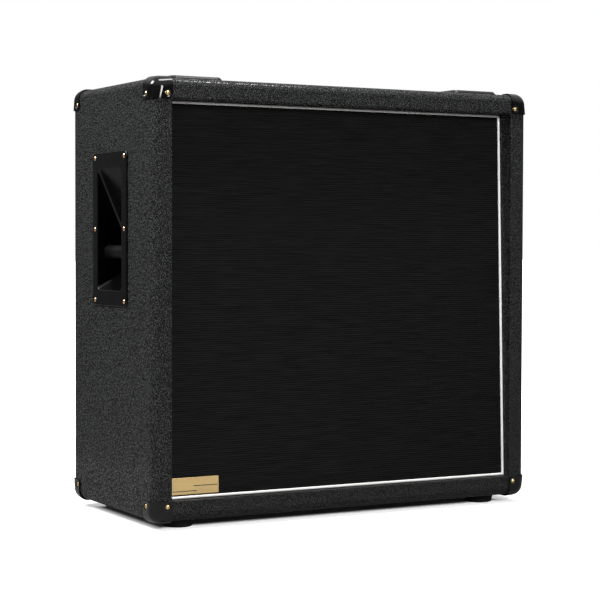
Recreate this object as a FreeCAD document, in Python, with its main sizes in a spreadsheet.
import FreeCAD
import Part
import math
import os
import re

import Sketcher
from FreeCAD import Placement, Rotation, Vector

# Closed-back guitar speaker cabinet with four 12 inch loudspeakers.
# Millimetres, +Z up, front faces -Y, origin on the floor under the middle of the box.

# Driving dimensions

SIZES = [
    # The box
    ("cab_width", 770, "width over the vinyl"),
    ("cab_depth", 365, "depth over the vinyl"),
    ("cab_height", 755, "height over the vinyl, without feet"),
    ("edge_radius", 15, "rounding of the outer edges, over the vinyl"),
    ("ply", 18, "thickness of the four wall panels"),
    ("vinyl", 1, "thickness of the covering"),
    ("finger_width", 33, "about how wide a finger of the corner joints is"),
    # The front
    ("frame_width", 36, "width of the vinyl frame round the grille"),
    ("frame_easing", 2.5, "rounding of the frame's inner front edge"),
    ("recess_top", 41, "depth of the grille behind the frame, at the top"),
    ("recess_bottom", 20, "depth of the grille behind the frame, at the bottom"),
    ("baffle_ply", 18, "thickness of the baffle board"),
    ("cloth", 1, "thickness of the grille cloth"),
    ("baffle_gap", 1, "room round the baffle board"),
    ("piping_diameter", 4.8, "bead round the grille"),
    ("piping_gap", 0.2, "room between the bead and what it lies against"),
    ("plate_width", 90, "width of the plate on the grille"),
    ("plate_height", 29, "height of the plate on the grille"),
    ("plate_thickness", 1.2, "thickness of the plate on the grille"),
    ("plate_inset", 7, "plate to the frame, at its left and bottom ends"),
    # The back
    ("back_ply", 12, "thickness of the back panel"),
    ("back_inset", 2, "back panel's vinyl in front of the rear edges"),
    ("back_gap", 1, "room round the back panel"),
    ("batten", 20, "section of the battens behind the walls"),
    ("brace_width", 44, "width of the centre brace"),
    ("brace_height", 60, "height of the centre brace"),
    # Corner protectors
    ("cap_margin", 9, "screw to the free edges of its wing, and rounding of the wing's corner"),
    ("cap_wall", 2.8, "thickness of a wing"),
    ("cap_nose", 26, "ball radius at the corner"),
    ("dimple_depth", 1.5, "depth of the dimple that a screw sits in"),
    ("dimple_flare", 2, "dimple wider at its mouth than at its floor, on the radius"),
    # Handles
    ("handle_width", 153, "width of the handle's flange"),
    ("handle_height", 273, "height of the handle's flange"),
    ("handle_flange", 3, "thickness of the handle's flange"),
    ("handle_bevel", 1.6, "bevel round the handle's flange"),
    ("handle_corner", 10, "corner radius of the handle's flange"),
    ("handle_back", 1, "handle's middle behind the box's middle"),
    ("handle_below", 255.5, "handle's middle below the top of the box"),
    ("handle_side_rim", 22.5, "handle's mouth to the sides of its flange"),
    ("handle_end_rim", 28, "handle's mouth to the ends of its flange"),
    ("pocket_depth", 66, "depth of the handle's pocket, from the vinyl"),
    ("pocket_corner", 9, "corner radius of the handle's mouth"),
    ("pocket_floor", 36, "height of the pocket's floor, between its sloping walls"),
    ("pocket_low_slope", 38, "rise of the pocket's bottom wall, mouth to floor"),
    ("pocket_wall", 3, "wall of the handle's pocket"),
    ("grip_diameter", 25, "grip bar"),
    ("grip_depth", 23, "grip bar's axis behind the vinyl"),
    ("grip_rise", 67.5, "grip bar's axis above the lower end of the handle's mouth"),
    ("handle_screw_side", 11, "handle screws to the sides of the flange"),
    ("handle_screw_end", 9.5, "outer handle screws to the ends of the flange"),
    # Caster cups
    ("cup_size", 102, "side of a caster cup"),
    ("cup_height", 6.5, "height of a caster cup"),
    ("cup_corner", 14, "corner radius of a caster cup"),
    ("cup_chamfer", 4, "chamfer round a caster cup"),
    ("cup_dish", 74, "diameter of a cup's dish"),
    ("cup_floor", 1.5, "floor under a cup's dish"),
    ("cup_from_side", 46, "cup to the side of the box"),
    ("cup_from_end", 28, "cup to the front or back of the box"),
    ("cup_screw_inset", 12, "cup screw from the cup's sides"),
    # Feet
    ("foot_height", 15, "box above the floor"),
    ("foot_top", 58, "diameter of a foot against the box"),
    ("foot_base", 50, "diameter of a foot on the floor"),
    ("foot_from_side", 70, "foot's axis to the side of the box"),
    ("foot_from_end", 53, "foot's axis to the front or back of the box"),
    ("foot_recess", 18, "diameter of the recess for the foot's screw"),
    ("foot_web", 7, "rubber between the recess and the box"),
    # Jack dish and switch
    ("dish_width", 140, "width of the jack dish's flange"),
    ("dish_height", 96, "height of the jack dish's flange"),
    ("dish_flange", 2.5, "thickness of the jack dish's flange and walls"),
    ("dish_rim", 13, "width of the jack dish's flange"),
    ("dish_depth", 34, "depth of the jack dish behind its flange"),
    ("dish_corner", 8, "corner radius of the jack dish"),
    ("dish_below", 130.5, "jack dish's middle below the box's middle"),
    ("jack_spacing", 66, "jack sockets, middle to middle"),
    ("jack_bore", 6.4, "bore of a jack socket"),
    ("jack_nose", 14, "diameter of a jack socket's ring nut"),
    ("jack_nose_length", 3, "height of a jack socket's ring nut"),
    ("jack_thread", 9.4, "diameter of a jack socket's threaded neck"),
    ("jack_body", 17, "diameter of a jack socket's body"),
    ("jack_body_length", 26, "length of a jack socket's body"),
    ("lever_length", 16, "switch lever, pivot to tip"),
    ("lever_diameter", 3, "switch lever at the pivot end"),
    ("lever_tip", 4.4, "switch lever at the tip"),
    ("lever_throw", 24, "angle between the lever's two positions, degrees"),
    ("lever_ball", 4.6, "diameter of the lever's pivot ball"),
    ("lever_clearance", 0.3, "room round the lever's pivot ball"),
    ("switch_neck", 8, "diameter of the switch's threaded neck"),
    ("switch_neck_length", 3.5, "switch's neck in front of the dish's floor"),
    ("switch_body", 14, "side of the switch's body"),
    ("switch_body_length", 18, "length of the switch's body"),
    # Loudspeakers, measured back from the rear face of the baffle board
    ("speaker_margin", 38, "loudspeaker's rim to the nearer edge of the baffle board"),
    ("speaker_gap", 21, "loudspeaker's rim to its neighbour's rim"),
    ("speaker_overlap", 13, "loudspeaker's rim over the edge of its hole in the baffle board"),
    ("bolt_inset", 6, "bolt circle to the loudspeaker's rim"),
    ("gasket_width", 10, "width of the gasket"),
    ("gasket_thickness", 4, "thickness of the gasket"),
    ("frame_metal", 2, "sheet of the loudspeaker's frame"),
    ("frame_landing", 66, "frame's rim to the spider's landing"),
    ("landing_radius", 74, "outside of the spider's landing"),
    ("landing_width", 12, "width of the spider's landing"),
    ("frame_well", 14, "depth of the frame behind the spider's landing"),
    ("window_margin", 11, "frame's windows to the landing and to the rim, on the radius"),
    ("window_half_angle", 21, "half the angle of a window, degrees"),
    ("surround_width", 13.5, "frame's rim to the paper cone, on the radius"),
    ("cone_lip", 4, "width of the cone's flat lip"),
    ("cone_paper", 1.2, "thickness of the paper"),
    ("neck_gap", 11, "cone's neck in front of the spider's landing"),
    ("coil_radius", 23, "outside of the voice coil"),
    ("coil_wall", 1.1, "wall of the voice coil and its former"),
    ("coil_overhang", 6, "voice coil past the rear of the front plate"),
    ("coil_gap", 1, "air gap on each side of the voice coil"),
    ("dust_cap_radius", 38, "radius of the dust cap"),
    ("dust_cap_rise", 12, "height of the dust cap's dome"),
    ("glue_gap", 0.15, "glue line between glued round faces"),
    ("suspension_cloth", 0.8, "thickness of the surround and the spider"),
    ("suspension_room", 0.3, "room between the surround or spider and what it is glued beside"),
    ("motor_plate", 8, "thickness of the motor's steel plates"),
    ("motor_plate_diameter", 144, "diameter of the motor's steel plates"),
    ("magnet_diameter", 156, "outside of the ring magnet"),
    ("magnet_bore", 66, "inside of the ring magnet"),
    ("magnet_thickness", 28, "thickness of the ring magnet"),
    ("terminal_length", 30, "length of a loudspeaker's terminal block"),
    ("terminal_height", 10, "height and width of a loudspeaker's terminal block"),
    ("terminal_gap", 0.3, "terminal block to the side of the frame's well"),
    ("wire_diameter", 4, "cable inside the box"),
    ("wire_bend", 22, "bend radius of the cable inside the box"),
    ("wire_lead", 20, "straight run of a cable behind its jack socket"),
    # Fasteners
    ("screw_shank", 4, "shank of a wood screw"),
    ("screw_head", 8, "head of a wood screw"),
    ("screw_dome", 1.9, "height of a wood screw's head"),
    ("screw_bite", 12, "length of a wood screw in the wood"),
    ("screw_room", 0.1, "hole wider than the shank, on the radius"),
    ("head_room", 0.5, "well wider than a screw's head, on the radius"),
    ("slot_floor", 0.6, "floor of the cross above the underside of a screw head"),
    ("slot_length", 4.6, "arm of the cross in a screw head"),
    ("slot_width", 0.9, "width of the cross in a screw head"),
    ("bolt_diameter", 5, "loudspeaker bolt"),
    ("bolt_head", 11, "head of a loudspeaker bolt"),
    ("bolt_head_height", 3, "height of a loudspeaker bolt's head"),
    ("nut_across", 9, "loudspeaker nut across its flats"),
    ("nut_height", 4, "height of a loudspeaker nut"),
]

doc = FreeCAD.newDocument("speaker_cabinet")
sheet = doc.addObject("Spreadsheet::Sheet", "Sizes")
for row, (alias, value, words) in enumerate(SIZES, start=1):
    sheet.set(f"A{row}", words)
    sheet.set(f"B{row}", str(value))
    sheet.setAlias(f"B{row}", alias)
doc.recompute()

ALIASES = re.compile(r"\b(" + "|".join(alias for alias, value, words in SIZES) + r")\b")

# Counts that the object has

FRAME_WINDOWS = 6
BOLTS_PER_SPEAKER = 4
SURROUND_ROLLS = 2
SPIDER_ROLLS = 6
NUT_SIDES = 6
BACK_SCREWS_UP = 5
BACK_SCREWS_ACROSS = 4
BAFFLE_SCREWS_UP = 4
BAFFLE_SCREWS_ACROSS = 3

# Places that many pieces share, as formulas of the sheet's names

LEFT = "(-cab_width / 2)"
RIGHT = "(cab_width / 2)"
FRONT = "(-cab_depth / 2)"
BACK = "(cab_depth / 2)"
BOTTOM = "foot_height"
TOP = "(foot_height + cab_height)"
MIDDLE = "(foot_height + cab_height / 2)"
SKIN = "(ply + vinyl)"
RAIL = "(frame_width - ply - 2 * vinyl)"
TILT = "atan((recess_top - recess_bottom) / (cab_height - 2 * frame_width))"
GRILLE_Y = f"({FRONT} + (recess_top + recess_bottom) / 2)"
BAFFLE_REAR = "(cloth + baffle_ply)"
BOARD_WIDTH = f"(cab_width - 2 * {SKIN} - 2 * baffle_gap)"
BOARD_HEIGHT = f"((cab_height - 2 * {SKIN} - 2 * baffle_gap - {BAFFLE_REAR} * sin({TILT})) / cos({TILT}))"
BACK_FACE = f"({BACK} - back_inset)"
CAP_SCREW = "((frame_width + ply) / 2)"
CAP_REACH = f"({CAP_SCREW} + cap_margin)"
HANDLE_Z = f"({TOP} - handle_below)"
POCKET_WIDTH = "(handle_width - 2 * handle_side_rim)"
POCKET_HEIGHT = "(handle_height - 2 * handle_end_rim)"
TOP_SLOPE = f"({POCKET_HEIGHT} - pocket_floor - pocket_low_slope)"
HANDLE_SCREW_X = "(handle_width / 2 - handle_screw_side)"
HANDLE_SCREW_Z = "(handle_height / 2 - handle_screw_end)"
DISH_Z = f"({MIDDLE} - dish_below)"
SPEAKER_RADIUS = f"((min({BOARD_WIDTH}; {BOARD_HEIGHT}) / 2 - speaker_gap / 2 - speaker_margin) / 2)"
SPEAKER_OFFSET = f"({SPEAKER_RADIUS} + speaker_gap / 2)"
BACK_WOOD = f"({BACK} - back_inset - vinyl - back_ply)"


def size(text):
    """The number that a formula of the sheet's names gives."""
    return float(sheet.evalExpression(text))


def bind(obj, prop, text):
    """Ties a property to the sheet."""
    obj.setExpression(prop, ALIASES.sub(r"Sizes.\1", text))


def place(obj, x, y, z, axis=(0, 0, 1), angle="0"):
    """Ties an object's placement to the sheet: a point, and a turn about one axis."""
    turn = f"create(<<rotation>>; create(<<vector>>; {axis[0]}; {axis[1]}; {axis[2]}); {angle})"
    bind(obj, "Placement", f"create(<<placement>>; create(<<vector>>; {x}; {y}; {z}); {turn})")


def on_grille(across, back, up):
    """The point of the leaning grille's own frame, as three formulas of the box's frame."""
    y = f"{GRILLE_Y} + ({back}) * cos({TILT}) + ({up}) * sin({TILT})"
    z = f"{MIDDLE} - ({back}) * sin({TILT}) + ({up}) * cos({TILT})"
    return across, y, z


def place_on_grille(obj, across, back, up):
    """Stands an object in the leaning grille's frame."""
    place(obj, *on_grille(across, back, up), axis=(1, 0, 0), angle=f"-{TILT}")


def grille_point(across, back, up):
    """A point of the leaning grille's frame, from numbers, as a vector of the box's frame."""
    tilt = math.radians(size(TILT))
    y = size(GRILLE_Y) + back * math.cos(tilt) + up * math.sin(tilt)
    z = size(MIDDLE) - back * math.sin(tilt) + up * math.cos(tilt)
    return Vector(across, y, z)


def block(name, x, y, z):
    """A box between three pairs of formulas."""
    obj = doc.addObject("Part::Box", name)
    for prop, (low, high) in zip(("Length", "Width", "Height"), (x, y, z)):
        bind(obj, prop, f"({high}) - ({low})")
    place(obj, x[0], y[0], z[0])
    return obj


def tilted_block(name, x, back, up):
    """A box between three pairs of formulas in the leaning grille's frame."""
    obj = doc.addObject("Part::Box", name)
    for prop, (low, high) in zip(("Length", "Width", "Height"), (x, back, up)):
        bind(obj, prop, f"({high}) - ({low})")
    place_on_grille(obj, x[0], back[0], up[0])
    return obj


def cut(name, base, *tools):
    """The base without the tools, cut one after the other."""
    for number, tool in enumerate(tools, start=1):
        obj = doc.addObject("Part::Cut", name if number == len(tools) else f"{name}_cut_{number}")
        obj.Base = base
        obj.Tool = tool
        base = obj
    return base


def join(name, first, second):
    obj = doc.addObject("Part::Fuse", name)
    obj.Base = first
    obj.Tool = second
    return obj


def common(name, first, second):
    obj = doc.addObject("Part::Common", name)
    obj.Base = first
    obj.Tool = second
    return obj


def edges_along(shape, direction):
    """Numbers of the straight edges that run along a direction."""
    numbers = []
    for number, edge in enumerate(shape.Edges, start=1):
        run = edge.Vertexes[-1].Point - edge.Vertexes[0].Point
        if run.Length > 0 and abs(run.normalize().dot(direction)) > 0.999:
            numbers.append(number)
    return numbers


def fillet(name, base, radius, numbers):
    doc.recompute()
    obj = doc.addObject("Part::Fillet", name)
    obj.Base = base
    obj.Edges = [(number, radius, radius) for number in numbers]
    return obj


def rounded_block(name, x, y, z, radius, direction):
    """A box whose edges along one direction are rounded."""
    box = block(f"{name}_box", x, y, z)
    doc.recompute()
    return fillet(name, box, size(radius), edges_along(box.Shape, direction))


def feature(name, shape):
    """A piece whose shape is worked out here from the sheet."""
    obj = doc.addObject("Part::Feature", name)
    obj.Shape = shape
    return obj


def origin_plane(body, role):
    return [item for item in body.Origin.OriginFeatures if item.Role == role][0]


def outline(body, name, role, points):
    """A closed outline through points given as pairs of formulas, on one of the body's planes."""
    sketch = body.newObject("Sketcher::SketchObject", name)
    sketch.AttachmentSupport = [(origin_plane(body, role), "")]
    sketch.MapMode = "FlatFace"
    spots = [Vector(size(a), size(b), 0) for a, b in points]
    count = len(points)
    for number in range(count):
        sketch.addGeometry(Part.LineSegment(spots[number], spots[(number + 1) % count]), False)
    for number in range(count):
        sketch.addConstraint(Sketcher.Constraint("Coincident", number, 2, (number + 1) % count, 1))
    for number, (a, b) in enumerate(points):
        for kind, text, axis in (("DistanceX", a, -2), ("DistanceY", b, -1)):
            if text == "0":
                sketch.addConstraint(Sketcher.Constraint("PointOnObject", number, 1, axis))
                continue
            index = sketch.addConstraint(Sketcher.Constraint(kind, -1, 1, number, 1, size(text)))
            bind(sketch, f"Constraints[{index}]", text)
    return sketch


def lathe(name, points):
    """A body turned about its own Y axis from (radius, distance along the axis) points."""
    body = doc.addObject("PartDesign::Body", name)
    sketch = outline(body, f"{name}_section", "XY_Plane", points)
    turned = body.newObject("PartDesign::Revolution", f"{name}_turned")
    turned.Profile = sketch
    turned.ReferenceAxis = (sketch, ["V_Axis"])
    turned.Angle = 360
    return body


def compound(name, items):
    obj = doc.addObject("Part::Compound", name)
    obj.Links = items
    return obj


NODES = []


def node(obj):
    """Marks an object as one of the pieces that are written out."""
    NODES.append(obj)


# Fasteners

def seat(point, out):
    """Where a screw sits: the point under its head and the way its head faces."""
    return Placement(Vector(*point), Rotation(Vector(0, 0, 1), Vector(*out)))


def wood_screw(through):
    """A round-head screw that stands on z = 0 and reaches through a depth and into the wood."""
    half = size("screw_head / 2")
    rise = size("screw_dome")
    ball = (half * half + rise * rise) / (2 * rise)
    low = math.degrees(math.asin((ball - rise) / ball))
    head = Part.makeSphere(ball, Vector(0, 0, rise - ball), Vector(0, 0, 1), low, 90, 360)
    reach = through + size("screw_bite")
    shank = Part.makeCylinder(size("screw_shank / 2"), reach, Vector(0, 0, -reach))
    arm = size("slot_length")
    width = size("slot_width")
    floor = size("slot_floor")
    cross = Part.makeBox(arm, width, rise, Vector(-arm / 2, -width / 2, floor))
    cross = cross.fuse(Part.makeBox(width, arm, rise, Vector(-width / 2, -arm / 2, floor)))
    return head.fuse(shank).removeSplitter().cut(cross)


def screw_hole(through):
    """The hole that such a screw stands in, open at its head's end."""
    reach = through + size("screw_bite + screw_room")
    above = size("screw_dome")
    return Part.makeCylinder(size("screw_shank / 2 + screw_room"), reach + above, Vector(0, 0, -reach))


def placed(shape, seats):
    """Copies of a shape, one on each seat."""
    copies = []
    for where in seats:
        copy = shape.copy()
        copy.Placement = where
        copies.append(copy)
    return copies


def spread(low, high, count):
    """Evenly spaced numbers from low to high."""
    return [low + (high - low) * step / (count - 1) for step in range(count)]


SIDES = (-1, 1)
CORNERS = [(sx, sy, sz) for sz in SIDES for sy in SIDES for sx in SIDES]


def vertex(sx, sy, sz):
    """The sharp corner that the box would have without its rounding."""
    return Vector(sx * size(RIGHT), sy * size(BACK), size(MIDDLE) + sz * size("cab_height / 2"))


def corner_screw_seats():
    """Screws of the corner protectors: in a dimple of each wing, apart from the wings on the back."""
    wall = size("cap_wall - dimple_depth")
    inset = size(CAP_SCREW)
    seats = []
    for sx, sy, sz in CORNERS:
        tip = vertex(sx, sy, sz)
        seats.append(seat(tip + Vector(sx * wall, -sy * inset, -sz * inset), (sx, 0, 0)))
        seats.append(seat(tip + Vector(-sx * inset, -sy * inset, sz * wall), (0, 0, sz)))
        if sy < 0:
            seats.append(seat(tip + Vector(-sx * inset, sy * wall, -sz * inset), (0, sy, 0)))
    return seats


def handle_screw_seats():
    """Three screws down each side of each handle's flange."""
    seats = []
    face = size(f"{RIGHT} + handle_flange")
    for sx in SIDES:
        for across in SIDES:
            for row in (-1, 0, 1):
                y = size("handle_back") + across * size(HANDLE_SCREW_X)
                z = size(HANDLE_Z) + row * size(HANDLE_SCREW_Z)
                seats.append(seat((sx * face, y, z), (sx, 0, 0)))
    return seats


def back_screw_seats():
    """Screws of the back panel: round its edge into the battens, and one into the brace."""
    side = size(f"{RIGHT} - {SKIN} - batten / 2")
    end = size(f"cab_height / 2 - {SKIN} - batten / 2")
    margin = size(f"{CAP_REACH} + batten")
    spots = [(0, 0)]
    for sx in SIDES:
        spots += [(sx * side, up) for up in spread(-end + margin, end - margin, BACK_SCREWS_UP)]
    for sz in SIDES:
        spots += [(x, sz * end) for x in spread(-side + margin, side - margin, BACK_SCREWS_ACROSS)]
    return [seat((x, size(BACK_FACE), size(MIDDLE) + up), (0, 1, 0)) for x, up in spots]


def dish_screw_seats():
    """Four screws in the flange of the jack dish."""
    across = size("dish_width / 2 - dish_rim / 2")
    up = size("dish_height / 2 - dish_rim / 2")
    face = size(f"{BACK_FACE} + dish_flange")
    middle = size(DISH_Z)
    return [seat((sx * across, face, middle + sz * up), (0, 1, 0)) for sx in SIDES for sz in SIDES]


def baffle_screw_seats():
    """Screws through the baffle board into the front rails, from behind."""
    tilt = math.radians(size(TILT))
    rear = size(BAFFLE_REAR)
    side = size(f"{RIGHT} - {SKIN} - {RAIL} / 2")
    end = size(f"cab_height / 2 - {SKIN} - {RAIL} / 2")
    margin = size("2 * frame_width")
    spots = []
    for sx in SIDES:
        spots += [(sx * side, up) for up in spread(-end + margin, end - margin, BAFFLE_SCREWS_UP)]
    for sz in SIDES:
        spots += [(x, sz * end) for x in spread(-side + margin, side - margin, BAFFLE_SCREWS_ACROSS)]
    out = (0, math.cos(tilt), -math.sin(tilt))
    return [seat(grille_point(x, rear, up), out) for x, up in spots]


def cup_middles():
    """Middles of the four caster cups, on the top."""
    x = size(f"{RIGHT} - cup_from_side - cup_size / 2")
    y = size(f"{BACK} - cup_from_end - cup_size / 2")
    return [(sx * x, sy * y) for sy in SIDES for sx in SIDES]


def cup_screw_seats():
    """One screw near each corner of each caster cup, in a flat spot beside its dish."""
    inset = size("cup_size / 2 - cup_screw_inset")
    floor = size(f"{TOP} + cup_floor")
    seats = []
    for x, y in cup_middles():
        seats += [seat((x + sx * inset, y + sy * inset, floor), (0, 0, 1)) for sx in SIDES for sy in SIDES]
    return seats


def foot_middles():
    """Axes of the four feet."""
    x = size(f"{RIGHT} - foot_from_side")
    y = size(f"{BACK} - foot_from_end")
    return [(sx * x, sy * y) for sy in SIDES for sx in SIDES]


def foot_screw_seats():
    return [seat((x, y, size(f"{BOTTOM} - foot_web")), (0, 0, -1)) for x, y in foot_middles()]


SPEAKERS = [(sx, sz) for sz in SIDES[::-1] for sx in SIDES]


def bolt_spots():
    """Bolt holes of the loudspeakers, across and up the baffle."""
    half = size(SPEAKER_OFFSET)
    circle = size(f"{SPEAKER_RADIUS} - bolt_inset")
    spots = []
    for sx, sz in SPEAKERS:
        for step in range(BOLTS_PER_SPEAKER):
            angle = math.tau * (step + 0.5) / BOLTS_PER_SPEAKER
            spots.append((sx * half + circle * math.cos(angle), sz * half + circle * math.sin(angle)))
    return spots


def bolt_seats():
    """Bolts stand on the front face of the baffle board and reach back."""
    tilt = math.radians(size(TILT))
    out = (0, math.cos(tilt), -math.sin(tilt))
    return [seat(grille_point(x, size("cloth"), up), out) for x, up in bolt_spots()]


def make_fasteners():
    """Each kind of fastener is one group of solids, and each has the holes that it stands in."""
    kinds = {
        "corner_screws": (corner_screw_seats(), size("cap_wall - dimple_depth + vinyl")),
        "handle_screws": (handle_screw_seats(), size("handle_flange + vinyl")),
        "back_screws": (back_screw_seats(), size("vinyl + back_ply")),
        "dish_screws": (dish_screw_seats(), size("dish_flange")),
        "baffle_screws": (baffle_screw_seats(), size(BAFFLE_REAR)),
        "cup_screws": (cup_screw_seats(), size("cup_floor + vinyl")),
        "foot_screws": (foot_screw_seats(), size("foot_web + vinyl")),
    }
    groups = {}
    holes = {}
    for name, (seats, through) in kinds.items():
        groups[name] = placed(wood_screw(through), seats)
        holes[name] = feature(f"{name}_holes", Part.Compound(placed(screw_hole(through), seats)))
    node(feature("corner_screws", Part.Compound(groups["corner_screws"])))
    node(feature("handle_screws", Part.Compound(groups["handle_screws"])))
    panel = groups["back_screws"] + groups["dish_screws"] + groups["baffle_screws"]
    node(feature("panel_screws", Part.Compound(panel)))
    node(feature("cup_and_foot_screws", Part.Compound(groups["cup_screws"] + groups["foot_screws"])))
    return holes


def make_speaker_bolts():
    """Bolts through the baffle board, gasket and frame, with their nuts, and the holes for both."""
    grip = size("baffle_ply + gasket_thickness + frame_metal")
    length = grip + size("nut_height + screw_dome")
    radius = size("bolt_diameter / 2")
    room = size("screw_room")
    head_height = size("bolt_head_height")
    bolt = Part.makeCylinder(size("bolt_head / 2"), head_height)
    bolt = bolt.fuse(Part.makeCylinder(radius, length)).removeSplitter()
    corner = size("nut_across / 2") / math.cos(math.pi / NUT_SIDES)
    turns = [math.tau * step / NUT_SIDES for step in range(NUT_SIDES + 1)]
    hexagon = [Vector(corner * math.cos(turn), corner * math.sin(turn), grip) for turn in turns]
    nut = Part.Face(Part.makePolygon(hexagon)).extrude(Vector(0, 0, size("nut_height")))
    nut = nut.cut(Part.makeCylinder(radius + room, length))
    node(feature("speaker_bolts", Part.Compound(placed(bolt, bolt_seats()) + placed(nut, bolt_seats()))))
    hole = Part.makeCylinder(radius + room, length)
    hole = hole.fuse(Part.makeCylinder(size("bolt_head / 2") + room, head_height)).removeSplitter()
    return feature("speaker_bolt_holes", Part.Compound(placed(hole, bolt_seats())))


# Box

def vertex_cut(tip, signs):
    """The half space that takes one sharp corner off, a wall deeper than the protector's ball."""
    nose = size("cap_nose")
    wall = size("cap_wall")
    depth = (nose - wall) * math.sqrt(3) - nose + wall
    side = size(f"4 * {CAP_REACH}")
    inward = Vector(*[-sign for sign in signs]).normalize()
    solid = Part.makeBox(side, side, side, Vector(-side / 2, -side / 2, -side))
    solid.Placement = Placement(tip + inward * depth, Rotation(Vector(0, 0, 1), inward))
    return solid


def vertex_cuts():
    """The cuts of all eight corners, which the protectors hide."""
    return feature("corner_cuts", Part.Compound([vertex_cut(vertex(*signs), signs) for signs in CORNERS]))


def envelope(name, inset, radius, corner_cuts):
    """The box's rounded outside, moved in by an inset."""
    box = block(
        f"{name}_box",
        (f"{LEFT} + {inset}", f"{RIGHT} - {inset}"),
        (f"{FRONT} + {inset}", f"{BACK} - {inset}"),
        (f"{BOTTOM} + {inset}", f"{TOP} - {inset}"),
    )
    doc.recompute()
    rounded = fillet(f"{name}_rounded", box, size(radius), range(1, len(box.Shape.Edges) + 1))
    return cut(name, rounded, corner_cuts)


def finger_slots(name, parity):
    """The slots of the four corner joints: parity 0 for the side panels, 1 for top and bottom."""
    depth = size("cab_depth - 2 * vinyl")
    count = 2 * round((depth / size("finger_width") - 1) / 2) + 1
    step = depth / count
    ply = size("ply")
    x = size(f"{RIGHT} - {SKIN}")
    solids = []
    for number in range(parity, count, 2):
        y = size(f"{FRONT} + vinyl") + number * step
        for low_x in (-x - ply, x):
            for low_z in (size(f"{BOTTOM} + vinyl"), size(f"{TOP} - {SKIN}")):
                solids.append(Part.makeBox(ply, step, ply, Vector(low_x, y, low_z)))
    return feature(name, Part.Compound(solids))


def handle_cutout(side):
    """The hole for a handle's pocket through a side of the box."""
    half_width = f"({POCKET_WIDTH} / 2 + pocket_wall + screw_room)"
    half_height = f"({POCKET_HEIGHT} / 2 + pocket_wall + screw_room)"
    low, high = (LEFT, f"{LEFT} + {SKIN}") if side == "left" else (f"{RIGHT} - {SKIN}", RIGHT)
    return rounded_block(
        f"{side}_handle_cutout",
        (f"{low} - ply", f"{high} + ply"),
        (f"handle_back - {half_width}", f"handle_back + {half_width}"),
        (f"{HANDLE_Z} - {half_height}", f"{HANDLE_Z} + {half_height}"),
        "pocket_corner + pocket_wall + screw_room",
        Vector(1, 0, 0),
    )


def make_walls(wood, holes, cutouts):
    """Top, bottom and side panels, finger-jointed at the corners."""
    full_x = (f"{LEFT} + vinyl", f"{RIGHT} - vinyl")
    full_y = (f"{FRONT} + vinyl", f"{BACK} - vinyl")
    full_z = (f"{BOTTOM} + vinyl", f"{TOP} - vinyl")
    flat_slots = finger_slots("flat_finger_slots", 1)
    side_slots = finger_slots("side_finger_slots", 0)
    blanks = {
        "top_panel": block("top_blank", full_x, full_y, (f"{TOP} - {SKIN}", f"{TOP} - vinyl")),
        "bottom_panel": block("bottom_blank", full_x, full_y, (f"{BOTTOM} + vinyl", f"{BOTTOM} + {SKIN}")),
        "left_side_panel": block("left_blank", (f"{LEFT} + vinyl", f"{LEFT} + {SKIN}"), full_y, full_z),
        "right_side_panel": block("right_blank", (f"{RIGHT} - {SKIN}", f"{RIGHT} - vinyl"), full_y, full_z),
    }
    tools = {
        "top_panel": [flat_slots, holes["corner_screws"], holes["cup_screws"]],
        "bottom_panel": [flat_slots, holes["corner_screws"], holes["foot_screws"]],
        "left_side_panel": [side_slots, cutouts["left"], holes["corner_screws"], holes["handle_screws"]],
        "right_side_panel": [side_slots, cutouts["right"], holes["corner_screws"], holes["handle_screws"]],
    }
    for name, blank in blanks.items():
        rounded = common(f"{name}_rounded", blank, wood)
        node(cut(name, rounded, *tools[name]))


def make_front_rails(behind_grille, holes):
    """Four rails behind the front frame, whose slanted rear faces carry the baffle."""
    inner_x = (f"{LEFT} + {SKIN}", f"{RIGHT} - {SKIN}")
    deep_y = (f"{FRONT} + vinyl", f"{FRONT} + recess_top + recess_bottom + frame_width")
    low_z = (f"{BOTTOM} + {SKIN}", f"{BOTTOM} + {SKIN} + {RAIL}")
    high_z = (f"{TOP} - {SKIN} - {RAIL}", f"{TOP} - {SKIN}")
    between_z = (low_z[1], high_z[0])
    left_x = (inner_x[0], f"{inner_x[0]} + {RAIL}")
    right_x = (f"{inner_x[1]} - {RAIL}", inner_x[1])
    blanks = {
        "front_rail_top": block("rail_top_blank", inner_x, deep_y, high_z),
        "front_rail_bottom": block("rail_bottom_blank", inner_x, deep_y, low_z),
        "front_rail_left": block("rail_left_blank", left_x, deep_y, between_z),
        "front_rail_right": block("rail_right_blank", right_x, deep_y, between_z),
    }
    for name, blank in blanks.items():
        node(cut(name, blank, behind_grille, holes["corner_screws"], holes["baffle_screws"]))


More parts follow.
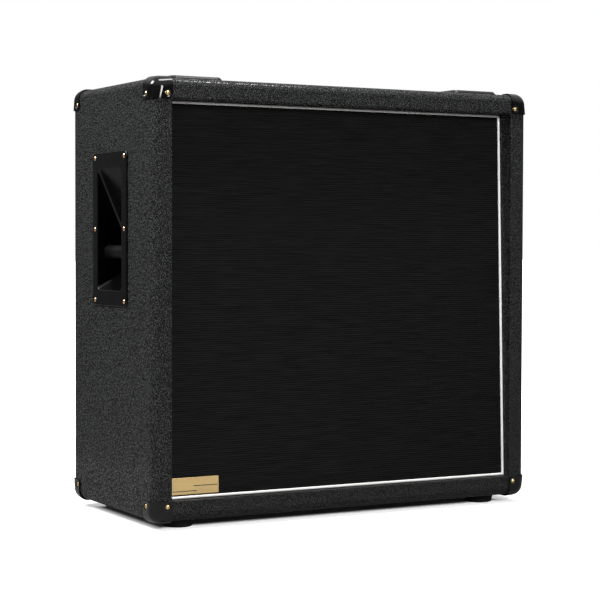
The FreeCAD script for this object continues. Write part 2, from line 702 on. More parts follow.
def make_vinyl(outside, wood, behind_grille, holes, cutouts):
    """The covering: a skin over the whole box, turned in over the front frame and the rear edges."""
    mouth_x = (f"{LEFT} + frame_width", f"{RIGHT} - frame_width")
    mouth_z = (f"{BOTTOM} + frame_width", f"{TOP} - frame_width")
    lined_x = (f"{mouth_x[0]} - vinyl", f"{mouth_x[1]} + vinyl")
    lined_z = (f"{mouth_z[0]} - vinyl", f"{mouth_z[1]} + vinyl")
    lining_y = (FRONT, f"{FRONT} + recess_top + recess_bottom")
    through_y = (f"{FRONT} - frame_width", f"{FRONT} + recess_top + recess_bottom + frame_width")
    mouth = block("front_mouth", mouth_x, through_y, mouth_z)
    lining = cut("front_lining", block("lining_blank", lined_x, lining_y, lined_z), behind_grille)
    skin = cut("skin", outside, wood)
    lined = cut("lined_skin", join("skin_and_lining", skin, lining), mouth)
    doc.recompute()
    eased = fillet("eased_skin", lined, size("frame_easing"), mouth_edges(lined.Shape))
    rear_x = (f"{LEFT} + {SKIN}", f"{RIGHT} - {SKIN}")
    rear_z = (f"{BOTTOM} + {SKIN}", f"{TOP} - {SKIN}")
    rear_mouth = block("rear_mouth", rear_x, (f"{BACK} - {SKIN}", f"{BACK} + vinyl"), rear_z)
    tools = [cutouts["left"], cutouts["right"]]
    tools += [holes[name] for name in ("corner_screws", "handle_screws", "cup_screws", "foot_screws")]
    node(cut("vinyl_covering", eased, rear_mouth, *tools))


def mouth_edges(shape):
    """Numbers of the four edges where the front frame turns in to the grille."""
    half_x = size("cab_width / 2 - frame_width")
    half_z = size("cab_height / 2 - frame_width")
    front = size(FRONT)
    middle = size(MIDDLE)
    numbers = []
    for number, edge in enumerate(shape.Edges, start=1):
        spots = [point.Point for point in edge.Vertexes]
        at_front = all(abs(spot.y - front) < 1e-4 for spot in spots)
        inside = all(abs(spot.x) < half_x + 1e-4 and abs(spot.z - middle) < half_z + 1e-4 for spot in spots)
        if at_front and inside:
            numbers.append(number)
    return numbers


def make_baffle(holes, bolt_holes):
    """The baffle board with its four holes, and the cloth over its front."""
    x = (f"-{BOARD_WIDTH} / 2", f"{BOARD_WIDTH} / 2")
    up = (f"-{BOARD_HEIGHT} / 2", f"{BOARD_HEIGHT} / 2")
    board = tilted_block("board_blank", x, ("cloth", BAFFLE_REAR), up)
    openings = []
    for number, (sx, sz) in enumerate(SPEAKERS, start=1):
        opening = doc.addObject("Part::Cylinder", f"baffle_opening_{number}")
        bind(opening, "Radius", f"{SPEAKER_RADIUS} - speaker_overlap")
        bind(opening, "Height", "2 * baffle_ply + cloth")
        rear = f"{BAFFLE_REAR} + baffle_ply / 2"
        spot = on_grille(f"{sx} * {SPEAKER_OFFSET}", rear, f"{sz} * {SPEAKER_OFFSET}")
        place(opening, *spot, axis=(1, 0, 0), angle=f"90 deg - {TILT}")
        openings.append(opening)
    opened = cut("opened_board", board, *openings)
    node(cut("baffle_board", opened, holes["baffle_screws"], bolt_holes))
    cloth = tilted_block("cloth_blank", x, ("0", "cloth"), up)
    node(cut("grille_cloth", cloth, holes["baffle_screws"]))


def make_piping():
    """The bead round the grille: a round section along a mitred rectangle."""
    reach = "(piping_diameter / 2 + piping_gap)"
    half_x = f"(cab_width / 2 - frame_width - {reach})"
    half_z = f"((cab_height / 2 - frame_width - {reach} * (1 + sin({TILT}))) / cos({TILT}))"
    path = doc.addObject("Part::Plane", "piping_frame")
    bind(path, "Length", f"2 * {half_x}")
    bind(path, "Width", f"2 * {half_z}")
    start = on_grille(f"-{half_x}", f"-{reach}", f"-{half_z}")
    place(path, *start, axis=(1, 0, 0), angle=f"90 deg - {TILT}")
    section = doc.addObject("Part::Circle", "piping_section")
    bind(section, "Radius", "piping_diameter / 2")
    place(section, *on_grille("0", f"-{reach}", f"-{half_z}"), axis=(0, 1, 0), angle="90")
    bead = doc.addObject("Part::Sweep", "piping")
    bead.Sections = [section]
    bead.Spine = (path, ["Edge1", "Edge2", "Edge3", "Edge4"])
    bead.Solid = True
    bead.Transition = "Right corner"
    node(bead)


def make_name_plate():
    """The bare plate low on the left of the grille."""
    low_x = f"({LEFT} + frame_width + plate_inset)"
    low_z = "(frame_width - cab_height / 2 + plate_inset)"
    plate = tilted_block(
        "name_plate",
        (low_x, f"{low_x} + plate_width"),
        ("-plate_thickness", "0"),
        (low_z, f"{low_z} + plate_height"),
    )
    node(plate)


def make_back(holes, dish_cutout):
    """The back panel and its vinyl, the battens that it is screwed to, and the brace."""
    x = (f"{LEFT} + {SKIN} + back_gap", f"{RIGHT} - {SKIN} - back_gap")
    z = (f"{BOTTOM} + {SKIN} + back_gap", f"{TOP} - {SKIN} - back_gap")
    panel = block("back_blank", x, (BACK_WOOD, f"{BACK_WOOD} + back_ply"), z)
    node(cut("back_panel", panel, dish_cutout, holes["back_screws"], holes["dish_screws"]))
    skin = block("back_skin", x, (f"{BACK_WOOD} + back_ply", BACK_FACE), z)
    node(cut("back_vinyl", skin, dish_cutout, holes["back_screws"], holes["dish_screws"]))
    inner_x = (f"{LEFT} + {SKIN}", f"{RIGHT} - {SKIN}")
    inner_z = (f"{BOTTOM} + {SKIN}", f"{TOP} - {SKIN}")
    y = (f"{BACK_WOOD} - batten", BACK_WOOD)
    between = (f"{inner_z[0]} + batten", f"{inner_z[1]} - batten")
    blanks = [
        block("batten_top", inner_x, y, (f"{inner_z[1]} - batten", inner_z[1])),
        block("batten_bottom", inner_x, y, (inner_z[0], f"{inner_z[0]} + batten")),
        block("batten_left", (inner_x[0], f"{inner_x[0]} + batten"), y, between),
        block("batten_right", (f"{inner_x[1]} - batten", inner_x[1]), y, between),
    ]
    node(compound("back_battens", [cut(f"{b.Name}_bored", b, holes["back_screws"]) for b in blanks]))


def make_brace(holes):
    """The brace between the baffle board and the back panel, its front end cut to the lean."""
    brace = block(
        "brace_blank",
        ("-brace_width / 2", "brace_width / 2"),
        (FRONT, BACK_WOOD),
        (f"{MIDDLE} - brace_height / 2", f"{MIDDLE} + brace_height / 2"),
    )
    half_z = f"{BOARD_HEIGHT} / 2"
    ahead = tilted_block("ahead_of_brace", ("-brace_width", "brace_width"), ("-cab_depth", BAFFLE_REAR),
                         (f"-{half_z}", half_z))
    node(cut("centre_brace", brace, ahead, holes["back_screws"]))


# Corner protectors, feet and caster cups

def octant_box(side, low, near_radius, far_radius):
    """A cube from (low, low, low), whose three edges at that corner are rounded."""
    tip = Vector(low, low, low)
    cube = Part.makeBox(side, side, side, tip)
    near = [edge for edge in cube.Edges if any((v.Point - tip).Length < 1e-6 for v in edge.Vertexes)]
    return cube.makeFillet(near_radius, far_radius, near)


def wing_edges(shape, reach):
    """The edges at the free corners of a protector's three wings."""
    return [edge for edge in shape.Edges
            if sum(abs(edge.CenterOfMass[axis] - reach) < 1e-6 for axis in range(3)) == 2]


def cap_shape():
    """One protector, for a corner at the origin with the box in the positive octant."""
    wall = size("cap_wall")
    reach = size(CAP_REACH)
    edge = size("edge_radius")
    outer = octant_box(reach + wall, -wall, size("cap_nose"), edge + wall)
    outer = outer.makeFillet(size("cap_margin"), wing_edges(outer, reach))
    inner = octant_box(2 * reach, 0, edge, edge)
    return outer.cut(inner.cut(vertex_cut(Vector(0, 0, 0), (-1, -1, -1))))


def cap_turn(sx, sy, sz):
    """The turn that brings the protector from the positive octant to one of the eight corners."""
    if sz < 0:
        quarter = {(-1, -1): 0, (1, -1): 1, (1, 1): 2, (-1, 1): 3}[(sx, sy)]
        return Rotation(Vector(0, 0, 1), 90 * quarter)
    quarter = {(-1, 1): 0, (-1, -1): 1, (1, -1): 2, (1, 1): 3}[(sx, sy)]
    return Rotation(Vector(0, 0, 1), 90 * quarter).multiply(Rotation(Vector(1, 0, 0), 180))


def make_corners(holes):
    """Eight protectors, those at the back cut away where the back panel lifts out."""
    shape = cap_shape()
    floor = size("screw_head / 2 + head_room")
    dimple = Part.makeCone(floor, floor + size("dimple_flare"), size("dimple_depth"))
    tools = [holes["corner_screws"].Shape] + placed(dimple, corner_screw_seats())
    wall = size("cap_wall")
    skin = size(SKIN)
    clear_x = size("cab_width") - 2 * skin
    clear_z = size("cab_height") - 2 * skin
    back_way = Part.makeBox(clear_x, 4 * wall, clear_z,
                            Vector(-clear_x / 2, size(BACK) - wall, size(BOTTOM) + skin))
    for sx, sy, sz in CORNERS:
        cap = shape.copy()
        cap.Placement = Placement(vertex(sx, sy, sz), cap_turn(sx, sy, sz))
        cap = cap.cut(tools)
        if sy > 0:
            cap = cap.cut(back_way)
        end = "front" if sy < 0 else "rear"
        side = "left" if sx < 0 else "right"
        level = "bottom" if sz < 0 else "top"
        node(feature(f"corner_{end}_{side}_{level}", cap))


def make_feet():
    """Four rubber feet, each a blunt cone with a recess for its screw."""
    hole = "screw_shank / 2 + screw_room"
    section = [
        ("foot_recess / 2", "0"),
        ("foot_base / 2", "0"),
        ("foot_top / 2", "foot_height"),
        (hole, "foot_height"),
        (hole, "foot_height - foot_web"),
        ("foot_recess / 2", "foot_height - foot_web"),
    ]
    for end, sy in zip(("front", "rear"), SIDES):
        for side, sx in zip(("left", "right"), SIDES):
            foot = lathe(f"foot_{end}_{side}", section)
            x = f"{sx} * ({RIGHT} - foot_from_side)"
            y = f"{sy} * ({BACK} - foot_from_end)"
            place(foot, x, y, "0", axis=(1, 0, 0), angle="90")
            node(foot)


def rim_edges(shape, axis, level):
    """Numbers of the edges that lie in one plane across an axis."""
    return [number for number, edge in enumerate(shape.Edges, start=1)
            if all(abs(v.Point[axis] - level) < 1e-4 for v in edge.Vertexes)]


def chamfer(name, base, depth, numbers):
    obj = doc.addObject("Part::Chamfer", name)
    obj.Base = base
    obj.Edges = [(number, depth, depth) for number in numbers]
    return obj


def make_cups():
    """Four caster cups: low square pads with a round dish, screwed down at their corners."""
    half = "cup_size / 2"
    inset = size("cup_size / 2 - cup_screw_inset")
    tall = size("cup_height")
    well = size("screw_head / 2 + head_room")
    spots = [Vector(sx * inset, sy * inset, 0) for sx in SIDES for sy in SIDES]
    holes = [Part.makeCylinder(size("screw_shank / 2 + screw_room"), tall, spot) for spot in spots]
    above = Vector(0, 0, size("cup_floor"))
    wells = [Part.makeCylinder(well, tall, spot + above) for spot in spots]
    for end, sy in zip(("front", "rear"), SIDES):
        for side, sx in zip(("left", "right"), SIDES):
            name = f"caster_cup_{end}_{side}"
            pad = rounded_block(f"{name}_pad", (f"-{half}", half), (f"-{half}", half), ("0", "cup_height"),
                                "cup_corner", Vector(0, 0, 1))
            doc.recompute()
            eased = chamfer(f"{name}_eased", pad, size("cup_chamfer"), rim_edges(pad.Shape, 2, tall))
            dish = doc.addObject("Part::Cylinder", f"{name}_dish")
            bind(dish, "Radius", "cup_dish / 2")
            bind(dish, "Height", "cup_height")
            place(dish, "0", "0", "cup_floor")
            screws = feature(f"{name}_screws", Part.Compound(holes))
            heads = feature(f"{name}_heads", Part.Compound(wells))
            cup = cut(name, eased, dish, heads, screws)
            x = f"{sx} * ({RIGHT} - cup_from_side - {half})"
            y = f"{sy} * ({BACK} - cup_from_end - {half})"
            place(cup, x, y, TOP)
            node(cup)


# Handles

def pocket_wedge(name, x, depth, low, high):
    """A wedge along +Y: low and high are each the height at the mouth and the height at its end."""
    wedge = doc.addObject("Part::Wedge", name)
    formulas = {
        "Xmin": f"-{x}", "X2min": f"-{x}", "Xmax": x, "X2max": x,
        "Ymin": "0", "Ymax": depth,
        "Zmin": low[0], "Z2min": low[1], "Zmax": high[0], "Z2max": high[1],
    }
    for prop, text in formulas.items():
        bind(wedge, prop, text)
    return wedge


def make_handle(side):
    """A flanged pocket with sloping top and bottom walls, and the grip bar across it."""
    name = f"{side}_handle"
    along = Vector(0, 1, 0)
    plate_x = ("-handle_width / 2", "handle_width / 2")
    plate_z = ("-handle_height / 2", "handle_height / 2")
    plate = rounded_block(f"{name}_plate", plate_x, ("-handle_flange", "0"), plate_z, "handle_corner", along)
    doc.recompute()
    plate = chamfer(f"{name}_flange", plate, size("handle_bevel"),
                    rim_edges(plate.Shape, 1, -size("handle_flange")))
    mouth_x = f"({POCKET_WIDTH} / 2)"
    mouth_z = f"({POCKET_HEIGHT} / 2)"
    outer_x = f"({mouth_x} + pocket_wall)"
    outer_z = f"({mouth_z} + pocket_wall)"
    deep = "(pocket_depth + pocket_wall)"
    steep = f"(pocket_wall * sqrt(1 + ({TOP_SLOPE} / pocket_depth)^2))"
    shallow = "(pocket_wall * sqrt(1 + (pocket_low_slope / pocket_depth)^2))"
    shell_wedge = pocket_wedge(
        f"{name}_shell_wedge", outer_x, deep,
        (f"-{mouth_z} - {shallow}", f"-{mouth_z} - {shallow} + pocket_low_slope * {deep} / pocket_depth"),
        (f"{mouth_z} + {steep}", f"{mouth_z} + {steep} - {TOP_SLOPE} * {deep} / pocket_depth"),
    )
    room_wedge = pocket_wedge(
        f"{name}_room_wedge", mouth_x, "pocket_depth",
        (f"-{mouth_z}", f"-{mouth_z} + pocket_low_slope"),
        (mouth_z, f"{mouth_z} - {TOP_SLOPE}"),
    )
    shell_prism = rounded_block(f"{name}_shell_prism", (f"-{outer_x}", outer_x), ("0", deep),
                                (f"-{outer_z}", outer_z), "pocket_corner + pocket_wall", along)
    room_prism = rounded_block(f"{name}_room_prism", (f"-{mouth_x}", mouth_x), ("0", deep),
                               (f"-{mouth_z}", mouth_z), "pocket_corner", along)
    mouth = rounded_block(f"{name}_mouth", (f"-{mouth_x}", mouth_x), ("-2 * handle_flange", "0"),
                          (f"-{mouth_z}", mouth_z), "pocket_corner", along)
    shell = common(f"{name}_shell", shell_wedge, shell_prism)
    room = common(f"{name}_room", room_wedge, room_prism)
    grip_hole = doc.addObject("Part::Cylinder", f"{name}_grip_hole")
    bind(grip_hole, "Radius", "grip_diameter / 2 + screw_room")
    bind(grip_hole, "Height", f"4 * {outer_x}")
    grip_z = f"(grip_rise - {mouth_z})"
    place(grip_hole, f"-2 * {outer_x}", "grip_depth", grip_z, axis=(0, 1, 0), angle="90")
    across = size(HANDLE_SCREW_X)
    up = size(HANDLE_SCREW_Z)
    flange = size("handle_flange")
    seats = [seat((a * across, -flange, row * up), (0, -1, 0)) for a in SIDES for row in (-1, 0, 1)]
    screws = feature(f"{name}_screw_holes", Part.Compound(placed(screw_hole(flange), seats)))
    dish = cut(f"{name}_dish", join(f"{name}_body", plate, shell), mouth, room, grip_hole, screws)
    face, turn, inward = (LEFT, "-90", 1) if side == "left" else (RIGHT, "90", -1)
    place(dish, face, "handle_back", HANDLE_Z, angle=turn)
    node(dish)
    grip = doc.addObject("Part::Cylinder", f"{side}_grip_bar")
    bind(grip, "Radius", "grip_diameter / 2")
    bind(grip, "Height", f"2 * {outer_x}")
    place(grip, f"{face} + {inward} * grip_depth", f"handle_back - {outer_x}", f"{HANDLE_Z} + {grip_z}",
          axis=(1, 0, 0), angle="-90")
    node(grip)


# Jack dish and switch

DISH_FLOOR = f"({BACK_FACE} - dish_depth + dish_flange)"
DISH_REAR = f"({BACK_FACE} - dish_depth)"


def dish_block(name, margin, y, radius):
    """A rounded block of the jack dish's outline, smaller by a margin all round."""
    half_x = f"(dish_width / 2 - ({margin}))"
    half_z = f"(dish_height / 2 - ({margin}))"
    z = (f"{DISH_Z} - {half_z}", f"{DISH_Z} + {half_z}")
    return rounded_block(name, (f"-{half_x}", half_x), y, z, radius, Vector(0, 1, 0))


def floor_hole(name, across, radius):
    """A hole through the floor of the jack dish."""
    hole = doc.addObject("Part::Cylinder", name)
    bind(hole, "Radius", radius)
    bind(hole, "Height", "3 * dish_flange")
    place(hole, across, f"{DISH_REAR} - dish_flange", DISH_Z, axis=(1, 0, 0), angle="-90")
    return hole


def make_jack_dish(holes):
    """The moulded dish in the back panel, with holes for two jack sockets and a switch."""
    flange = dish_block("dish_plate", "0", (BACK_FACE, f"{BACK_FACE} + dish_flange"), "dish_corner")
    tub = dish_block("dish_tub", "dish_rim", (DISH_REAR, BACK_FACE), "dish_corner")
    room = dish_block("dish_room", "dish_rim + dish_flange", (DISH_FLOOR, f"{BACK_FACE} + 2 * dish_flange"),
                      "dish_corner - dish_flange")
    tools = [
        room,
        floor_hole("left_jack_hole", "-jack_spacing / 2", "jack_thread / 2 + screw_room"),
        floor_hole("right_jack_hole", "jack_spacing / 2", "jack_thread / 2 + screw_room"),
        floor_hole("switch_hole", "0", "switch_neck / 2 + screw_room"),
        holes["dish_screws"],
    ]
    node(cut("jack_dish", join("dish_body", flange, tub), *tools))


def make_jack_sockets():
    """Two 6.35 mm jack sockets, each a ring nut, a threaded neck and a body round one bore."""
    end = "-(dish_flange + jack_body_length)"
    section = [
        ("jack_bore / 2", "jack_nose_length"),
        ("jack_nose / 2", "jack_nose_length"),
        ("jack_nose / 2", "0"),
        ("jack_thread / 2", "0"),
        ("jack_thread / 2", "-dish_flange"),
        ("jack_body / 2", "-dish_flange"),
        ("jack_body / 2", end),
        ("0", end),
        ("0", f"{end} + dish_flange"),
        ("jack_bore / 2", f"{end} + dish_flange"),
    ]
    sockets = []
    for number, sx in enumerate(SIDES, start=1):
        socket = lathe(f"jack_socket_{number}", section)
        place(socket, f"{sx} * jack_spacing / 2", DISH_FLOOR, DISH_Z)
        sockets.append(socket)
    node(compound("jack_sockets", sockets))


def make_switch():
    """The mono/stereo switch: its body with a bored neck, and the lever that tilts in it.

    The lever turns about a point in the floor of the dish."""
    half = "switch_body / 2"
    body = block("switch_case", (f"-{half}", half), (f"{DISH_REAR} - switch_body_length", DISH_REAR),
                 (f"{DISH_Z} - {half}", f"{DISH_Z} + {half}"))
    neck = doc.addObject("Part::Cylinder", "switch_neck_rod")
    bind(neck, "Radius", "switch_neck / 2")
    bind(neck, "Height", "dish_flange + switch_neck_length")
    place(neck, "0", DISH_REAR, DISH_Z, axis=(1, 0, 0), angle="-90")
    bore = doc.addObject("Part::Cylinder", "switch_bore")
    room = "(lever_ball / 2 + lever_clearance)"
    bind(bore, "Radius", room)
    bind(bore, "Height", f"{room} + 2 * switch_neck_length")
    place(bore, "0", f"{DISH_FLOOR} - {room}", DISH_Z, axis=(1, 0, 0), angle="-90")
    node(cut("switch_body", join("switch_shell", body, neck), bore))
    ball = doc.addObject("Part::Sphere", "lever_pivot_ball")
    bind(ball, "Radius", "lever_ball / 2")
    stem = doc.addObject("Part::Cone", "lever_stem")
    bind(stem, "Radius1", "lever_diameter / 2")
    bind(stem, "Radius2", "lever_tip / 2")
    bind(stem, "Height", "lever_length")
    place(stem, "0", "0", "0", axis=(1, 0, 0), angle="-90")
    lever = join("switch_lever", stem, ball)
    place(lever, "0", DISH_FLOOR, DISH_Z, angle="lever_throw / 2")
    node(lever)


# Loudspeakers

RIM = "gasket_thickness"
LANDING = f"({RIM} + frame_landing)"
MOTOR = f"({LANDING} + frame_well + frame_metal)"
FLANGE_INNER = f"({SPEAKER_RADIUS} - gasket_width - cone_lip)"
CONE_RIM = f"({FLANGE_INNER} - surround_width)"
CONE_NECK = "(frame_landing - neck_gap)"
COIL_END = f"({MOTOR} + motor_plate + coil_overhang)"
FRAME_LEAN = f"(({FLANGE_INNER} - landing_radius) / frame_landing)"
FRAME_WALL = f"(frame_metal * (sqrt(1 + {FRAME_LEAN}^2) - {FRAME_LEAN}))"
WELL = "(landing_radius - landing_width)"
NECK = "(coil_radius + glue_gap)"


def on_speaker(obj, sx, sz):
    """Stands an object on the rear face of the baffle board, at one of the four loudspeakers."""
    place_on_grille(obj, f"{sx} * {SPEAKER_OFFSET}", BAFFLE_REAR, f"{sz} * {SPEAKER_OFFSET}")


def make_frame(number):
    """The pressed frame: rim, six-legged cone, landing for the spider and a well for the motor."""
    section = [
        (SPEAKER_RADIUS, RIM),
        (FLANGE_INNER, RIM),
        ("landing_radius", LANDING),
        (WELL, LANDING),
        (WELL, f"{LANDING} + frame_well"),
        ("magnet_bore / 2", f"{LANDING} + frame_well"),
        ("magnet_bore / 2", MOTOR),
        (f"{WELL} + frame_metal", MOTOR),
        (f"{WELL} + frame_metal", f"{LANDING} + frame_metal"),
        (f"landing_radius + {FRAME_WALL}", f"{LANDING} + frame_metal"),
        (f"{FLANGE_INNER} + {FRAME_WALL}", f"{RIM} + frame_metal"),
        (SPEAKER_RADIUS, f"{RIM} + frame_metal"),
    ]
    body = lathe(f"speaker_frame_{number}", section)
    doc.recompute()
    whole = body.Shape.Volume
    near = "(landing_radius + window_margin)"
    far = f"({FLANGE_INNER} - window_margin)"
    corners = [(near, -1), (near, 1), (far, 1), (far, -1)]
    window_points = [(f"{radius} * cos(window_half_angle)", f"{sign} * {radius} * sin(window_half_angle)")
                     for radius, sign in corners]
    sketch = outline(body, f"frame_window_{number}", "XZ_Plane", window_points)
    window = body.newObject("PartDesign::Pocket", f"frame_window_cut_{number}")
    window.Profile = sketch
    bind(window, "Length", f"{LANDING} + frame_metal")
    around = body.newObject("PartDesign::PolarPattern", f"frame_windows_{number}")
    around.Originals = [window]
    around.Axis = (origin_plane(body, "Y_Axis"), [""])
    around.Angle = 360
    around.Occurrences = FRAME_WINDOWS
    body.Tip = around
    doc.recompute()
    if body.Shape.Volume >= whole:
        raise RuntimeError("the frame's windows are not cut")
    return body


def rolled_ring(level, inner, inner_lip, outer_lip, outer, rolls):
    """A sheet ring about the Y axis: two flat lips joined by half rolls, first back, then forward."""
    sheet_half = size("suspension_cloth / 2")
    radius = (outer_lip - inner_lip) / rolls / 2
    front = [Vector(inner, level - sheet_half, 0)]
    rear = [Vector(inner, level + sheet_half, 0)]
    front_edges = []
    rear_edges = []
    for step in range(rolls):
        middle = inner_lip + radius * (2 * step + 1)
        way = 1 if step % 2 == 0 else -1
        for edges, last, offset in ((front_edges, front, -sheet_half), (rear_edges, rear, sheet_half)):
            reach = radius + way * offset
            start = Vector(middle - reach, level, 0)
            if step == 0:
                knee = Vector(middle - reach, level + offset, 0)
                edges.append(Part.LineSegment(last[-1], knee).toShape())
                edges.append(Part.LineSegment(knee, start).toShape())
            top = Vector(middle, level + way * reach, 0)
            end = Vector(middle + reach, level, 0)
            edges.append(Part.Arc(start, top, end).toShape())
            last.append(end)
    for edges, last, offset in ((front_edges, front, -sheet_half), (rear_edges, rear, sheet_half)):
        knee = Vector(last[-1].x, level + offset, 0)
        edges.append(Part.LineSegment(last[-1], knee).toShape())
        edges.append(Part.LineSegment(knee, Vector(outer, level + offset, 0)).toShape())
    outer_ends = [Vector(outer, level - sheet_half, 0), Vector(outer, level + sheet_half, 0)]
    ends = [Part.LineSegment(front[0], rear[0]).toShape(), Part.LineSegment(*outer_ends).toShape()]
    wire = Part.Wire(Part.__sortEdges__(front_edges + rear_edges + ends))
    return Part.Face(wire).revolve(Vector(0, 0, 0), Vector(0, 1, 0), 360)


def suspension():
    """The surround between cone and frame, and the spider between voice coil and frame."""
    half = size("suspension_cloth / 2")
    surround = rolled_ring(
        size(RIM) - half,
        size(f"{CONE_RIM} - cone_lip"),
        size(f"{CONE_RIM} + suspension_cloth"),
        size(FLANGE_INNER),
        size(f"{SPEAKER_RADIUS} - gasket_width - suspension_room"),
        SURROUND_ROLLS,
    )
    spider = rolled_ring(
        size(LANDING) - half,
        size("coil_radius + suspension_room"),
        size("coil_radius + cone_lip"),
        size(WELL),
        size("landing_radius - frame_metal"),
        SPIDER_ROLLS,
    )
    return Part.Compound([surround, spider])


def make_cone(number, sx, sz):
    """The moving part of a loudspeaker: paper cone, voice coil on its former, and dust cap."""
    inner_lip = f"({CONE_RIM} - cone_lip)"
    neck_w = f"({RIM} + {CONE_NECK})"
    cone = lathe(f"cone_paper_{number}", [
        (CONE_RIM, RIM),
        (CONE_RIM, f"{RIM} + cone_paper"),
        (inner_lip, f"{RIM} + cone_paper"),
        (NECK, f"{neck_w} + cone_paper"),
        (NECK, neck_w),
        (inner_lip, RIM),
    ])
    coil = lathe(f"voice_coil_{number}", [
        ("coil_radius - coil_wall", f"{neck_w} - cone_lip"),
        ("coil_radius", f"{neck_w} - cone_lip"),
        ("coil_radius", COIL_END),
        ("coil_radius - coil_wall", COIL_END),
    ])
    ball = "((dust_cap_radius^2 + dust_cap_rise^2) / (2 * dust_cap_rise))"
    base = f"({RIM} + {CONE_NECK} * ({inner_lip} - dust_cap_radius) / ({inner_lip} - {NECK}) - glue_gap)"
    middle = on_grille(f"{sx} * {SPEAKER_OFFSET}", f"{BAFFLE_REAR} + {base} + {ball} - dust_cap_rise",
                       f"{sz} * {SPEAKER_OFFSET}")
    dome = doc.addObject("Part::Sphere", f"dome_outside_{number}")
    bind(dome, "Radius", ball)
    bind(dome, "Angle1", f"asin(({ball} - dust_cap_rise) / {ball})")
    hollow = doc.addObject("Part::Sphere", f"dome_inside_{number}")
    bind(hollow, "Radius", f"{ball} - suspension_cloth")
    for item in (dome, hollow):
        place(item, *middle, axis=(1, 0, 0), angle=f"90 deg - {TILT}")
    cap = cut(f"dust_cap_{number}", dome, hollow)
    for item in (cone, coil):
        on_speaker(item, sx, sz)
    node(compound(f"cone_{number}", [cone, coil, cap]))


def ring(name, inner, outer, low, high):
    return lathe(name, [(inner, low), (outer, low), (outer, high), (inner, high)])


def make_speakers(bolt_holes):
    """Four loudspeakers on the rear face of the baffle board."""
    plate_r = "motor_plate_diameter / 2"
    magnet_w = f"({MOTOR} + motor_plate)"
    yoke_w = f"({magnet_w} + magnet_thickness)"
    pole_r = "coil_radius - coil_wall - coil_gap"
    groups = {name: [] for name in ("frames", "gaskets", "front_plates", "magnets", "back_plates")}
    for number, (sx, sz) in enumerate(SPEAKERS, start=1):
        frame = make_frame(number)
        gasket = ring(f"gasket_{number}", f"{SPEAKER_RADIUS} - gasket_width", SPEAKER_RADIUS, "0", RIM)
        front = ring(f"front_plate_{number}", "coil_radius + coil_gap", plate_r, MOTOR, magnet_w)
        magnet = ring(f"magnet_{number}", "magnet_bore / 2", "magnet_diameter / 2", magnet_w, yoke_w)
        yoke = lathe(f"back_plate_{number}", [
            ("0", MOTOR),
            (pole_r, MOTOR),
            (pole_r, yoke_w),
            (plate_r, yoke_w),
            (plate_r, f"{yoke_w} + motor_plate"),
            ("0", f"{yoke_w} + motor_plate"),
        ])
        for item in (frame, gasket, front, magnet, yoke):
            on_speaker(item, sx, sz)
        groups["frames"].append(cut(f"bored_frame_{number}", frame, bolt_holes))
        groups["gaskets"].append(cut(f"bored_gasket_{number}", gasket, bolt_holes))
        groups["front_plates"].append(front)
        groups["magnets"].append(magnet)
        groups["back_plates"].append(yoke)
        make_cone(number, sx, sz)
        hung = feature(f"suspension_{number}", suspension())
        on_speaker(hung, sx, sz)
        node(hung)
    for name, items in groups.items():
        node(compound(f"speaker_{name}", items))


def cable(points, radius, bend):
    """A round cable along straight runs joined by arcs."""
    edges = []
    start = points[0]
    for before, corner, after in zip(points, points[1:], points[2:]):
        back = (before - corner).normalize()
        ahead = (after - corner).normalize()
        half = math.acos(max(-1, min(1, back.dot(ahead)))) / 2
        run = bend / math.tan(half)
        first = corner + back * run
        last = corner + ahead * run
        bisector = (back + ahead).normalize()
        middle = corner + bisector * (bend / math.sin(half) - bend)
        edges.append(Part.LineSegment(start, first).toShape())
        edges.append(Part.Arc(first, middle, last).toShape())
        start = last
    edges.append(Part.LineSegment(start, points[-1]).toShape())
    path = Part.Wire(edges)
    section = Part.Wire(Part.Circle(points[0], points[1] - points[0], radius).toShape())
    return path.makePipeShell([section], True, False)


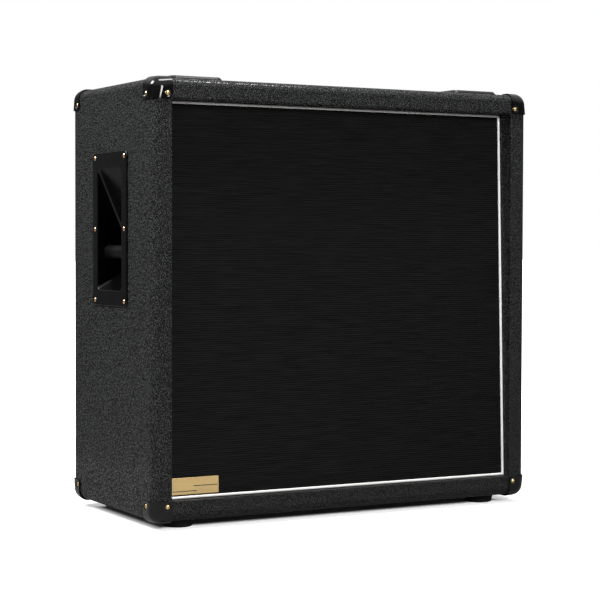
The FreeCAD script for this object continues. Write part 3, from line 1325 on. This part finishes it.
def make_wiring():
    """A terminal block on each loudspeaker, and the cables to them from the jack sockets."""
    near = size(f"{WELL} + frame_metal + terminal_gap")
    thick = size("terminal_height")
    long = size("terminal_length")
    depth = size(f"{BAFFLE_REAR} + {LANDING} + frame_metal")
    half = size(SPEAKER_OFFSET)
    radius = size("wire_diameter / 2")
    bend = size("wire_bend")
    lean = Rotation(Vector(1, 0, 0), -size(TILT))
    jack_x = size("jack_spacing / 2")
    jack_end = size(f"{DISH_REAR} - jack_body_length")
    lead = Vector(0, -size("wire_lead"), 0)
    solids = []
    for sx, sz in SPEAKERS:
        terminal = Part.makeBox(thick, thick, long, Vector(-thick / 2, 0, -long / 2))
        terminal.Placement = Placement(grille_point(sx * (half - near - thick / 2), depth, sz * half), lean)
        solids.append(terminal)
        end = grille_point(sx * (half - near - thick), depth + thick / 2, sz * half)
        start = Vector(sx * jack_x, jack_end, size(DISH_Z) + sz * size("jack_body / 4"))
        solids.append(cable([start, start + lead, Vector(sx * jack_x, end.y, end.z), end], radius, bend))
    node(feature("speaker_wiring", Part.Compound(solids)))


# Assembly

def build():
    holes = make_fasteners()
    bolt_holes = make_speaker_bolts()
    corner_cuts = vertex_cuts()
    outside = envelope("outside", "0", "edge_radius", corner_cuts)
    wood = envelope("wood", "vinyl", "edge_radius - vinyl", corner_cuts)
    cutouts = {side: handle_cutout(side) for side in ("left", "right")}
    behind_grille = tilted_block("behind_grille", (LEFT, RIGHT), ("0", "cab_depth"),
                                 ("-cab_height", "cab_height"))
    dish_cutout = dish_block("dish_cutout", "dish_rim - screw_room", (f"{BACK_WOOD} - back_ply", BACK),
                             "dish_corner + screw_room")
    make_walls(wood, holes, cutouts)
    make_front_rails(behind_grille, holes)
    make_vinyl(outside, wood, behind_grille, holes, cutouts)
    make_baffle(holes, bolt_holes)
    make_piping()
    make_name_plate()
    make_back(holes, dish_cutout)
    make_brace(holes)
    make_corners(holes)
    make_feet()
    make_cups()
    for side in ("left", "right"):
        make_handle(side)
    make_jack_dish(holes)
    make_jack_sockets()
    make_switch()
    make_speakers(bolt_holes)
    make_wiring()


# Writing out

def write_parts():
    doc.recompute()
    for obj in doc.Objects:
        if "Invalid" in obj.State or "Error" in obj.State:
            raise RuntimeError(f"{obj.Label} failed: {obj.State}")
    for obj in NODES:
        shape = obj.Shape
        if shape.isNull() or not shape.isValid() or not shape.Solids:
            raise RuntimeError(f"{obj.Label} has no valid shape")
    os.makedirs("parts", exist_ok=True)
    for obj in NODES:
        obj.Shape.exportStep(os.path.join("parts", f"{obj.Label}.step"))
        print(f"{obj.Label}: {len(obj.Shape.Solids)} solids, {obj.Shape.Volume / 1000:.1f} cm3")
    print(f"{len(NODES)} pieces")


build()
write_parts()
